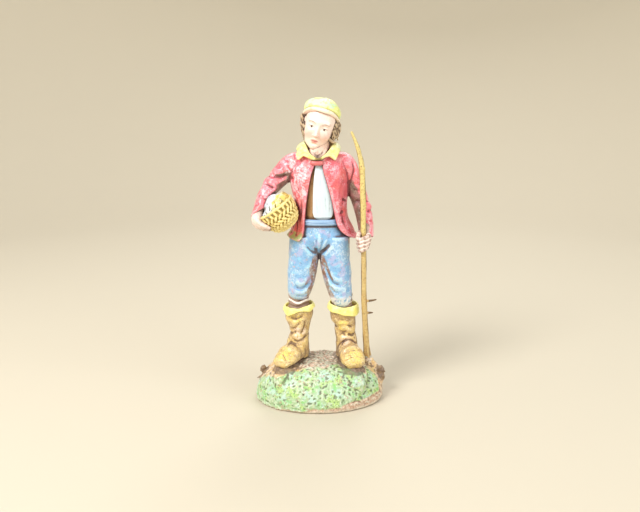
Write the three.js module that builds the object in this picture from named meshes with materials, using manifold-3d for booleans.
// A presepe figure: a boy with a basket on his hip and a staff in his fist, standing on a grassy mound.
// It is one casting. Millimetres, +Z up, the boy faces -Y, and the origin is the middle of the underside.
import * as THREE from 'three';
import { mergeVertices } from 'three/addons/utils/BufferGeometryUtils.js';
import Module from 'manifold-3d';

// Driving dimensions
const figureHeight = 105; // from the soles to the top of the cap
const moundLength = 51;
const moundDepth = 39;
const moundHeight = 15.8;
const groundSink = 0.8; // how far the soles press into the mound
const staffDiameter = 2.1;
const spurDiameter = 0.8; // the thin spurs left on the staff by the mould
const basketDiameter = 14.8; // across the rim
const basketDepth = 8.6;
const rimDiameter = 1.5; // of the withy round the basket's rim
const clothThickness = 1.2; // of the open jacket's edge
const collarThickness = 0.9;
const cuffHeight = 4.6; // the turned-down tops of the boots
const fingerDiameter = 1.9;
const capBandDiameter = 1.6; // the rolled edge of the cap

// The pose is drawn for a boy of this height, on the ground at z = 0, and scaled to figureHeight
const drawnHeight = 105;
const scale = figureHeight / drawnHeight;
const front = -Math.PI / 2;

const wasm = await Module();
wasm.setup();

// A closed geometry as a manifold-3d solid
function solidOf(geometry) {
  const bare = geometry.index ? geometry.toNonIndexed() : geometry.clone();
  bare.deleteAttribute('normal');
  bare.deleteAttribute('uv');
  const merged = mergeVertices(bare, 1e-4);
  return new wasm.Manifold(new wasm.Mesh({
    numProp: 3,
    vertProperties: merged.attributes.position.array,
    triVerts: new Uint32Array(merged.index.array),
  }));
}

function geometryOf(solid) {
  const mesh = solid.getMesh();
  const geometry = new THREE.BufferGeometry();
  geometry.setAttribute('position', new THREE.BufferAttribute(mesh.vertProperties, 3));
  geometry.setIndex(new THREE.BufferAttribute(mesh.triVerts, 1));
  geometry.computeVertexNormals();
  return geometry;
}

const join = (solids) => solids.reduce((whole, piece) => whole.add(piece));

// A closed surface through rings of equally many points, with a fan over each end
function skin(rings) {
  const sides = rings[0].length;
  const middle = (ring) => ring.reduce((sum, p) => sum.add(p), new THREE.Vector3()).divideScalar(sides);
  const points = [middle(rings[0]), ...rings.flat(), middle(rings.at(-1))];
  const at = (ring, side) => 1 + ring * sides + (side % sides);
  const faces = [];
  for (let side = 0; side < sides; side++) {
    faces.push(0, at(0, side + 1), at(0, side));
    for (let ring = 0; ring + 1 < rings.length; ring++) {
      faces.push(at(ring, side), at(ring, side + 1), at(ring + 1, side + 1));
      faces.push(at(ring, side), at(ring + 1, side + 1), at(ring + 1, side));
    }
    faces.push(points.length - 1, at(rings.length - 1, side), at(rings.length - 1, side + 1));
  }
  const geometry = new THREE.BufferGeometry().setFromPoints(points);
  geometry.setIndex(faces);
  return solidOf(geometry);
}

const evenly = (count) => Array.from({ length: count + 1 }, (_, step) => step / count);

// A rounded form along stations [x, y, z, half width, half depth], with a ring at each share of its length.
// side is the direction that its depth keeps to, relief(angle, t) is added to its radius, lift(angle, t)
// moves points along it, dome rounds its two ends by that many millimetres, and crowd draws its sides
// together towards the front
function limb(stations, {
  shares = evenly(8), sides = 14, side = [0, 1, 0], relief, lift, dome = [0, 0], crowd = 0,
} = {}) {
  const spine = new THREE.CatmullRomCurve3(
    stations.map(([x, y, z]) => new THREE.Vector3(x, y, z)), false, 'catmullrom', 0.5);
  const girth = new THREE.SplineCurve(stations.map(([, , , wide, deep]) => new THREE.Vector2(wide, deep)));
  const depthHint = new THREE.Vector3(...side);
  const ringAt = (t, shrink = 1, shift = 0) => {
    const along = spine.getTangent(t);
    const across = new THREE.Vector3().crossVectors(depthHint, along).normalize();
    const depth = new THREE.Vector3().crossVectors(along, across);
    const size = girth.getPoint(t);
    return Array.from({ length: sides }, (_, k) => {
      const even = (k / sides) * 2 * Math.PI;
      const angle = even - crowd * Math.sin(even - front);
      const extra = relief ? relief(angle, t) : 0;
      return spine.getPoint(t)
        .addScaledVector(across, (size.x + extra) * shrink * Math.cos(angle))
        .addScaledVector(depth, (size.y + extra) * shrink * Math.sin(angle))
        .addScaledVector(along, shift + (lift ? lift(angle, t) : 0));
    });
  };
  const domeRing = (t, height, rise) => ringAt(t, Math.sqrt(1 - rise * rise), height * rise);
  const domeRings = (t, height) => [0.5, 0.9].map((rise) => domeRing(t, height, rise));
  const startDome = dome[0] ? domeRings(0, -dome[0]).reverse() : [];
  const endDome = dome[1] ? domeRings(1, dome[1]) : [];
  return skin([...startDome, ...shares.map((t) => ringAt(t)), ...endDome]);
}

// The signed turn from one angle to another, between -pi and pi
const turnFrom = (from, angle) => Math.atan2(Math.sin(angle - from), Math.cos(angle - from));

// A crease pressed into a limb at share t and an angle; a negative depth raises a fold
const crease = (t, angle, width, reach, depth, slant = 0) => (a, s) => {
  const turn = turnFrom(angle, a);
  return -depth * Math.exp(-(((s - t - slant * turn) / width) ** 2) - (turn / reach) ** 2);
};
const creases = (...folds) => (a, s) => folds.reduce((sum, fold) => sum + fold(a, s), 0);

// A flat outline in the front view, cut or laid along Y between two depths
function slab(outline, nearY, farY) {
  const shape = new THREE.Shape(outline.map(([x, z]) => new THREE.Vector2(x, z)));
  const geometry = new THREE.ExtrudeGeometry(shape, { depth: farY - nearY, bevelEnabled: false });
  return solidOf(geometry.rotateX(Math.PI / 2).translate(0, farY, 0));
}

const ball = (x, y, z, rx, ry, rz, turn = [0, 0, 0], detail = 10) => solidOf(
  new THREE.SphereGeometry(1, detail, Math.round(detail * 0.7)).scale(rx, ry, rz)
    .rotateX(turn[0]).rotateY(turn[1]).rotateZ(turn[2]).translate(x, y, z));

function placed(position, turns) {
  return new THREE.Matrix4().compose(
    new THREE.Vector3(...position),
    new THREE.Quaternion().setFromEuler(new THREE.Euler(...turns, 'ZYX')),
    new THREE.Vector3(1, 1, 1)).toArray();
}

// The mound that the boy stands on, at its own size, with its left end a little nearer
function mound() {
  const steps = 9;
  const sides = 30;
  const turned = 0.07;
  const flatTop = 0.94; // how far round the mound's side curve runs
  const rings = Array.from({ length: steps }, (_, step) => {
    const climb = (step / (steps - 1)) ** 1.15 * flatTop;
    const angleUp = climb * Math.PI / 2;
    const spread = step === 0 ? 0.965 : Math.cos(angleUp) ** 0.6;
    return Array.from({ length: sides }, (_, k) => {
      const angle = (k / sides) * 2 * Math.PI;
      const lumps = climb * (Math.sin(3 * angle + 5 * climb) + Math.sin(8 * angle - 4 * climb)) * 0.55;
      return new THREE.Vector3(
        (moundLength / 2 * spread + lumps) * Math.cos(angle),
        (moundDepth / 2 * spread + lumps) * Math.sin(angle),
        moundHeight * Math.sin(angleUp) ** 0.85);
    });
  });
  return skin(rings).transform(placed([0, 0, 0], [0, 0, turned]));
}

// Small lumps that the mould left standing on both ends of the mound
function mouldLumps() {
  const lump = (side, height, reach) => ball(
    side * moundLength * reach, 0.6, height * moundHeight, 1.5, 1.3, 3.1, [0, side * 0.4, 0], 7);
  return join([lump(-1, 0.62, 0.405), lump(1, 0.62, 0.42), lump(1, 0.34, 0.475)]);
}

// One boot: foot, crumpled leg and turned-down cuff, on the ground at z = 0
function boot(heel, toe, ankleX, topX) {
  const reach = (share) => heel[0] + (toe[0] - heel[0]) * share;
  const ahead = (share) => heel[1] + (toe[1] - heel[1]) * share;
  const foot = limb([
    [reach(0), ahead(0), 2.7, 2.9, 2.7],
    [reach(0.32), ahead(0.32), 3.5, 3.4, 3.7],
    [reach(0.62), ahead(0.62), 3.1, 3.9, 3.3],
    [reach(0.86), ahead(0.86), 2.7, 4.0, 2.9],
    [reach(1), ahead(1), 2.2, 3.2, 2.2],
  ], {
    shares: [0, 0.22, 0.42, 0.5, 0.57, 0.65, 0.82, 1], sides: 10, side: [0, 0, 1], dome: [1.6, 1.8],
    relief: creases(crease(0.57, Math.PI / 2, 0.05, 1.5, 0.55), crease(0.4, Math.PI / 2, 0.08, 1.2, -0.4)),
  });
  const shin = heel[1] - 2.6;
  const leg = limb([
    [reach(0.25), shin, 1.5, 3.7, 4.3],
    [ankleX, shin - 0.2, 6.5, 4.0, 4.6],
    [ankleX - 0.2, shin - 0.4, 12, 4.1, 4.5],
    [topX, shin - 0.8, 19.5, 4.7, 4.8],
  ], {
    shares: [0, 0.22, 0.31, 0.39, 0.47, 0.55, 0.63, 0.71, 0.8, 1], sides: 12,
    relief: creases(
      crease(0.32, front, 0.05, 1.7, 0.75, 0.05), crease(0.42, front + 0.5, 0.05, 1.5, -0.7, -0.05),
      crease(0.54, front - 0.3, 0.05, 1.7, 0.7, 0.06), crease(0.66, front + 0.6, 0.05, 1.4, -0.55, 0.05),
      crease(0.78, front - 0.8, 0.05, 1.2, 0.5, -0.06)),
  });
  const cuffTop = 25;
  const cuffFoot = cuffTop - cuffHeight / scale;
  const hem = (angle, t) => (1 - t) * 0.6 * Math.sin(3 * angle + topX);
  const cuff = limb([
    [topX, shin - 0.8, cuffFoot, 6.0, 5.7], [topX, shin - 0.9, (cuffFoot + cuffTop) / 2, 6.1, 5.8],
    [topX, shin - 1, cuffTop, 5.4, 5.2],
  ], { shares: [0, 0.3, 0.75, 1], sides: 15, lift: hem });
  const mouth = limb([
    [topX, shin - 1, cuffTop - 1.8, 4.6, 4.4], [topX, shin - 1, cuffTop + 2, 4.8, 4.6],
  ], { shares: [0, 1], sides: 15 });
  return join([foot, leg, cuff.subtract(mouth)]);
}

// Knee breeches, gathered above the boots
function breeches() {
  const kneeFolds = creases(
    crease(0.27, front, 0.045, 1.2, 0.75, 0.04), crease(0.18, front, 0.05, 1.5, -0.6, -0.03),
    crease(0.5, front + 1.4, 0.1, 0.8, 0.5, 0.1), crease(0.75, front - 0.6, 0.12, 0.5, 0.5, 0.12));
  const cloth = { shares: [0, 0.09, 0.16, 0.22, 0.28, 0.36, 0.5, 0.7, 1], sides: 13, relief: kneeFolds };
  const rightLeg = limb([
    [-8.0, 0.8, 20, 3.9, 4.0], [-8.1, 0, 24, 4.3, 4.6], [-8.1, -0.9, 29.5, 4.7, 5.2],
    [-7.5, -0.7, 36, 5.1, 5.8], [-6.8, -0.2, 43, 5.5, 6.4], [-6.0, 0.3, 51, 5.8, 7.0],
  ], cloth);
  const leftLeg = limb([
    [8.9, 0.8, 20, 3.8, 4.0], [8.5, 0, 24, 4.0, 4.5], [8.0, -1.1, 29.5, 4.7, 5.3],
    [7.2, -0.8, 36, 5.1, 5.8], [6.3, -0.2, 43, 5.4, 6.5], [5.8, 0.3, 51, 5.8, 7.0],
  ], cloth);
  const seat = limb([
    [-0.1, 0.2, 44.6, 2.0, 3.6], [-0.1, 0.3, 47.5, 7.2, 6.4],
    [0, 0.3, 51, 10.4, 7.3], [0.3, 0, 58, 9.0, 6.5],
  ], {
    shares: [0, 0.2, 0.4, 0.6, 1], sides: 18,
    relief: creases(crease(0.3, front, 0.4, 0.16, 0.9), crease(0.35, front + 0.75, 0.1, 0.5, 0.6, 0.2),
      crease(0.35, front - 0.75, 0.1, 0.5, 0.6, -0.2)),
  });
  const belt = limb([[0.4, 0, 55.2, 9.4, 7.1], [0.4, 0, 56.6, 9.5, 7.3], [0.4, 0, 58, 9.2, 7.0]],
    { shares: [0, 0.5, 1], sides: 18 });
  return join([rightLeg, leftLeg, seat, belt]);
}

// The front opening of the jacket in the front view, from the clasp down to the hem
function jacketOpening() {
  const rightEdge = [[-1.2, 80.6], [-3.0, 76], [-4.0, 71], [-4.8, 63], [-5.6, 57], [-6.3, 50], [-6.4, 42]];
  const leftEdge = [
    [16, 42], [15.6, 49.6], [11.4, 51.3], [8.2, 54], [6.2, 57],
    [5.3, 61.5], [4.5, 67], [2.5, 73.5], [1.1, 78], [0.6, 80.6],
  ];
  const bend = (edge) => new THREE.SplineCurve(edge.map((p) => new THREE.Vector2(...p)))
    .getPoints(edge.length + 2).map((p) => [p.x, p.y]);
  return slab([...bend(rightEdge), ...bend(leftEdge)], -20, -1.5);
}

// Jacket over a waistcoat and shirt
function torso() {
  const body = [
    [0.4, 0, 54, 8.6, 6.0], [0.4, -0.2, 60, 8.2, 5.8], [0.3, -0.4, 66, 8.6, 6.1],
    [0.1, -0.3, 72, 9.3, 6.3], [-0.1, 0, 78, 9.1, 5.6], [-0.3, 0.2, 82, 6.0, 4.4],
  ];
  const waistcoat = limb(body, { shares: evenly(5), sides: 18 });
  const shirt = limb(body.map(([x, y, z, wide, deep]) => [x, y, z, wide + 0.6, deep + 0.6]),
    { shares: evenly(5), sides: 18 });
  const bib = slab([
    [-2.8, 61], [-2.0, 59], [0.5, 58.3], [3.4, 58.6], [4.9, 60], [5.0, 65],
    [3, 72.6], [0.9, 80], [-1.2, 80], [-2.3, 74], [-2.7, 68],
  ], -20, 0);
  const over = clothThickness / scale;
  const hem = (angle, t) => (1 - t) ** 4 * (0.5 * Math.cos(angle) - 1.2 * Math.max(0, Math.sin(angle)));
  const jacket = limb([
    [0.8, 0.3, 49.8, 12.2 + over, 7.8 + over], [0.7, 0.2, 53.5, 10.6 + over, 7.2 + over],
    [0.5, 0, 58, 9.1 + over, 6.6 + over], [0.4, -0.2, 63, 8.8 + over, 6.4 + over],
    [0.1, -0.4, 69, 9.7 + over, 6.7 + over], [-0.1, -0.3, 75, 10.5 + over, 6.6 + over],
    [-0.3, 0, 80, 10.0 + over, 5.4 + over], [-0.4, 0.2, 83, 7.6 + over, 4.4 + over], [-0.4, 0.4, 85, 5, 4],
  ], {
    shares: evenly(9), sides: 24, lift: hem, crowd: 0.3,
    relief: creases(
      crease(0, 0.15, 0.22, 0.4, -0.9), crease(0.35, front + 0.62, 0.35, 0.22, -0.7),
      crease(0.4, front - 0.62, 0.35, 0.22, -0.7), crease(0.1, 0.9, 0.3, 0.35, 0.7),
      crease(0.1, 2.2, 0.3, 0.35, 0.8), crease(0.1, Math.PI, 0.2, 0.3, 0.4),
      crease(0, front - 0.9, 0.12, 0.5, -0.9), crease(0.5, front - 1, 0.2, 0.3, 0.5, 0.3),
      crease(0.55, Math.PI / 2, 0.35, 0.2, 0.5), crease(0.62, front + 1, 0.2, 0.3, 0.4, -0.3)),
  });
  const clasp = limb([
    [-3.0, -6.9, 80.4, 0.9, 1.1], [-0.9, -7.5, 80.1, 1.1, 1.3], [1.2, -6.9, 80.4, 0.9, 1.1],
  ], { shares: evenly(3), sides: 8, side: [0, 0, 1], dome: [0.5, 0.5] });
  return join([waistcoat, shirt.intersect(bib), jacket.subtract(jacketOpening()), clasp]);
}

// Sleeves run from the wrist up into the shoulder
function sleeves() {
  const bentFolds = creases(
    crease(0.24, Math.PI, 0.05, 1.6, 0.8, 0.04), crease(0.38, Math.PI, 0.05, 1.5, -0.7, 0.05),
    crease(0.5, Math.PI * 0.9, 0.05, 1.6, 0.8, -0.05), crease(0.62, Math.PI, 0.05, 1.2, -0.5, 0.06));
  const right = limb([
    [-23.4, -6.8, 61.6, 3.1, 3.0], [-21.1, -3.8, 67.3, 3.1, 3.1], [-18.0, -0.6, 71.2, 3.5, 3.6],
    [-14.2, 0.8, 75.2, 4.1, 4.1], [-10.4, 0.8, 78.4, 4.6, 4.7], [-5, 0.3, 80, 4, 4],
  ], { shares: evenly(13), sides: 12, relief: bentFolds, dome: [0.3, 0] });
  const left = limb([
    [17.5, -3.4, 53.2, 3.1, 3.1], [16.7, -1.6, 59, 3.7, 3.5], [15.0, 1.0, 65.5, 3.8, 3.9],
    [12.0, 1.1, 73, 4.1, 4.4], [9.3, 0.4, 78.6, 4.4, 4.8], [5, 0.2, 80, 4, 4],
  ], {
    shares: evenly(12), sides: 12, dome: [0.3, 0],
    relief: creases(crease(0.3, front, 0.05, 1.8, 0.7, 0.05), crease(0.42, front, 0.05, 1.8, -0.5, 0.04),
      crease(0.08, 0, 0.06, 2.4, -0.5), crease(0.18, 0, 0.05, 2, 0.5, 0.03)),
  });
  return join([right, left]);
}

// The staff's line: it leans back a little at its foot and crooks at its top
const staffLine = [
  [19.4, 2.8, -3], [18.9, 1.2, 4], [18.2, -0.7, 13], [17.3, -3.2, 27], [16.9, -5.2, 42], [16.5, -6.6, 55],
  [16.1, -7.9, 68], [15.4, -8.6, 79.5], [13.9, -9.2, 85.7], [11.6, -9.8, 91.4],
];

function staff() {
  const radius = staffDiameter / scale / 2;
  const girths = [3.4, 1.35, 1.12, 1.05, 1.0, 1.05, 1.15, 1.12, 0.85, 0.55];
  const stick = limb(staffLine.map((p, i) => [...p, radius * girths[i], radius * girths[i]]), {
    shares: evenly(18), sides: 7, dome: [0, 0.4],
    relief: creases(crease(5 / 6, 0, 0.03, 2, -0.4), crease(0.5, 2, 0.03, 2, -0.2)),
  });
  const spurRadius = spurDiameter / scale / 2;
  const points = staffLine.map((p) => new THREE.Vector3(...p));
  const line = new THREE.CatmullRomCurve3(points, false, 'catmullrom', 0.5);
  const spur = (share, length, rise) => {
    const from = line.getPoint(share);
    return limb([[from.x, from.y, from.z, spurRadius, spurRadius],
      [from.x + length, from.y, from.z + rise, spurRadius * 0.7, spurRadius * 0.7]],
    { shares: [0, 1], sides: 6, side: [0, 0, 1] });
  };
  return join([stick, spur(0.329, 4.8, 0.7), spur(0.287, 3.2, 0.1)]);
}

// A finger that curls through its points
const finger = (points, radius) => limb(
  points.map((p, i) => [...p, radius * (i === points.length - 1 ? 0.8 : 1), radius]),
  { shares: evenly(3), sides: 6, side: [0, 0.02, 1], dome: [0, 0.6] });

// The left fist holds the staff, the right hand carries the basket from below
function hands() {
  const radius = fingerDiameter / scale / 2;
  const rings = 16;
  const ringsInFist = 10;
  const ringsToAFinger = 2.4;
  const knuckles = (angle, t) => (t < ringsInFist / rings
    ? 0.34 * Math.cos(2 * Math.PI * t * rings / ringsToAFinger) * Math.max(0, Math.cos(angle + 2.2)) : 0);
  const fist = limb([
    [17.0, -6.0, 45.0, 1.7, 1.7], [17.2, -5.8, 47, 2.9, 2.5], [17.5, -5.5, 50, 3.2, 2.8],
    [17.7, -4.9, 52.6, 2.7, 2.6], [17.6, -3.8, 55.4, 2.2, 2.2],
  ], {
    shares: evenly(rings), sides: 10, dome: [0.4, 0], relief: knuckles,
    lift: (angle, t) => (t < 0.7 ? 1.1 * Math.cos(angle) : 0),
  });
  const thumbLine = [[18.0, -6.6, 53.4], [16.4, -7.8, 52.8], [15.0, -8.2, 51.4], [14.0, -7.6, 49.4]];
  const holder = evenly(3).map((share, k) => {
    const y = -11.8 + share * 5.4;
    const z = 58.4 - share * 2.0;
    return finger([
      [-24.8, y + 1.4, z], [-23.8, y + 0.4, z - 1.8], [-21.8, y, z - 2.7], [-19.6, y + 0.2 * k, z - 3],
    ], radius);
  });
  const back = limb([
    [-22.8, -6.6, 63.4, 2.2, 2.4], [-24.0, -8.2, 60.4, 2.3, 3.6], [-23.4, -8.9, 57.2, 2.3, 3.6],
  ], { shares: evenly(3), sides: 10, dome: [0, 1.0] });
  const holdingThumb = finger([[-23.6, -10.6, 60.6], [-22.2, -11.8, 61.0], [-20.9, -12.6, 61.0]], radius);
  return join([fist, finger(thumbLine, radius), ...holder, back, holdingThumb]);
}

// The basket lies aslant on the hip, full, with a cloth over what it holds
function basket() {
  const radius = basketDiameter / scale / 2;
  const depth = basketDepth / scale;
  const stakes = 22;
  const rim = rimDiameter / scale / 2;
  const strakes = 7;
  const weave = (angle, t) => (t < 0.9
    ? 0.32 * Math.cos(stakes / 2 * angle + Math.PI * Math.round(t * (strakes + 1)))
    : rim * Math.sin(Math.PI * (t - 0.9) / 0.1));
  const bowl = limb([
    [0, 0, -depth, radius * 0.42, radius * 0.42], [0, 0, -depth * 0.8, radius * 0.78, radius * 0.78],
    [0, 0, -depth * 0.4, radius * 0.97, radius * 0.97], [0, 0, rim, radius, radius],
  ], { shares: [...evenly(strakes + 1).slice(0, -1), 0.925, 0.975, 1], sides: stakes, relief: weave });
  const cloth = limb([
    [0, 0, -1, radius * 0.98, radius * 0.98], [0, 0, 1.6, radius * 0.95, radius * 0.95],
    [-0.3, 0.3, 3.8, radius * 0.7, radius * 0.7], [-0.5, 0.4, 5.0, radius * 0.3, radius * 0.3],
  ], {
    shares: evenly(4), sides: 14,
    relief: (angle, t) => 0.35 * Math.sin(4 * angle + 5 * t) * Math.sin(Math.PI * t),
  });
  return join([bowl, cloth]).transform(placed([-16.7, -6.2, 63.2], [0.05, -0.6, 0]));
}

// Head, hair and cap are drawn upright around the middle of the skull, then tilted
function head() {
  const face = (angle, t) => {
    const turn = Math.abs(turnFrom(front, angle));
    const bump = (height, away, tall, wide, rise) => rise
      * Math.exp(-(((t - height) / tall) ** 2) - (((turn - away) / wide) ** 2));
    return bump(0.39, 0, 0.075, 0.17, 1.5) + bump(0.5, 0, 0.09, 0.13, 0.6) // nose and its bridge
      + bump(0.6, 0.3, 0.05, 0.4, 0.3) - bump(0.5, 0.38, 0.045, 0.2, 0.55) // brows and eye sockets
      + bump(0.25, 0, 0.035, 0.26, 0.5) - bump(0.17, 0, 0.03, 0.4, 0.25) // lips
      + bump(0.08, 0, 0.06, 0.35, 0.6) + bump(0.33, 0.65, 0.12, 0.3, 0.25); // chin and cheeks
  };
  const skull = limb([
    [0, -1.7, -9.4, 2.4, 2.7], [0, -1.0, -7.4, 4.1, 4.8], [0, -0.4, -3.8, 5.3, 5.9], [0, 0, 0, 5.9, 6.3],
    [0, 0.2, 3.8, 6.0, 6.5], [0, 0.2, 7.2, 5.0, 5.6],
  ], {
    shares: [0, 0.08, 0.17, 0.25, 0.32, 0.39, 0.45, 0.51, 0.6, 0.72, 1], sides: 18, crowd: 0.5,
    relief: face, dome: [0.8, 0],
  });
  const ear = (side) => ball(side * 5.9, 0.4, -0.6, 0.8, 1.2, 1.9, [0.2, 0, 0], 6);
  const lockCount = 13;
  const faceGap = (angle) => Math.exp(-((turnFrom(front, angle) / 0.72) ** 4));
  const hair = limb([
    [0, 1.9, -8.6, 6.6, 5.9], [0, 1.7, -5.4, 7.0, 6.4], [0, 1.5, -1.0, 6.8, 6.4], [0, 1.3, 4.2, 6.2, 6.2],
  ], {
    shares: evenly(5), sides: 2 * lockCount,
    relief: (angle, t) => 0.45 * Math.cos(lockCount * angle + 2.4 * Math.sin(5 * t)) * (1 - 0.5 * t)
      - 2.6 * faceGap(angle),
    lift: (angle, t) => (1 - t) ** 3 * (0.9 * Math.cos(lockCount * angle) + 1.2 * Math.sin(2 * angle + 1)),
  });
  const band = capBandDiameter / scale / 2;
  const rolledEdge = (angle, t) => (t < 0.2 ? band * Math.sin(Math.PI * (t + 0.02) / 0.2) : 0);
  const cap = limb([
    [0, 0.5, 3.0, 6.9, 7.3], [0, 0.7, 6.0, 6.9, 7.3], [0.1, 0.8, 8.6, 5.6, 6.0], [0.1, 0.9, 9.9, 3.4, 3.7],
  ], {
    shares: [0, 0.06, 0.14, 0.22, 0.45, 0.72, 1], sides: 18, dome: [0, 0.7],
    relief: creases(rolledEdge, crease(0.5, 2.2, 0.3, 0.35, 0.6), crease(0.6, 0.7, 0.3, 0.35, 0.5),
      crease(0.55, -2, 0.3, 0.3, 0.5)),
  });
  const tipped = [-0.3, 0, 0];
  return join([skull, ear(-1), ear(1), hair, cap.transform(placed([0, -0.6, 0.2], tipped))])
    .transform(placed([0.3, -1.5, 93.8], [0.2, 0.28, -0.1]));
}

// The neck and the wide pointed collar laid over the jacket
function collar() {
  const neck = limb([[-0.6, -2.3, 79.5, 4.4, 4.3], [-0.3, -0.8, 83, 3.9, 3.9], [0.2, -0.4, 90, 3.6, 3.9]],
    { shares: evenly(3), sides: 12 });
  const inner = [[-0.7, -6.9, 81.2], [3.4, -5.4, 83.4], [6.1, -1.6, 86.2], [4.9, 3.2, 87.6], [0, 4.8, 88.2],
    [-4.9, 3.2, 87.8], [-6.1, -1.4, 87.0], [-4.2, -5.3, 83.8]];
  const outer = [[-0.7, -7.5, 80.7], [6.0, -6.8, 81.4], [8.3, -2.6, 83.6], [7.2, 5.0, 84.4], [0, 6.8, 84.8],
    [-7.2, 5.0, 84.6], [-9.0, -2.4, 84.2], [-8.1, -6.2, 80.7]];
  const sides = 3 * inner.length;
  const thick = collarThickness / scale;
  const loop = (spokes, k, rise) => {
    const from = new THREE.Vector3(...spokes[Math.floor(k / 3)]);
    const to = new THREE.Vector3(...spokes[Math.floor(k / 3 + 1) % spokes.length]);
    return from.lerp(to, (k % 3) / 3).add(new THREE.Vector3(0, 0, rise));
  };
  const ring = (share, rise) => Array.from({ length: sides }, (_, k) => loop(inner, k, rise).lerp(
    loop(outer, k, rise), share));
  const sink = 3.5;
  const flaps = skin([ring(0, -sink), ring(1, -thick), ring(1, 0), ring(0.5, 0.5), ring(0, 0)]);
  return join([neck, flaps]);
}

const boy = join([
  boot([-7.2, 5.2], [-17.4, -9.6], -8.6, -8.1),
  boot([9.8, 4.6], [14.0, -11.0], 10.5, 9.4),
  breeches(), torso(), sleeves(), staff(), hands(), basket(), head(), collar(),
]).transform(new THREE.Matrix4().compose(
  new THREE.Vector3(0, 0, moundHeight - groundSink), new THREE.Quaternion(),
  new THREE.Vector3(scale, scale, scale)).toArray());

const figure = new THREE.Mesh(
  geometryOf(join([mound(), mouldLumps(), boy])),
  new THREE.MeshStandardMaterial({ color: 0xc98a72, roughness: 0.55, metalness: 0 }));
figure.name = 'figure';

const part = new THREE.Group();
part.add(figure);

export default part;
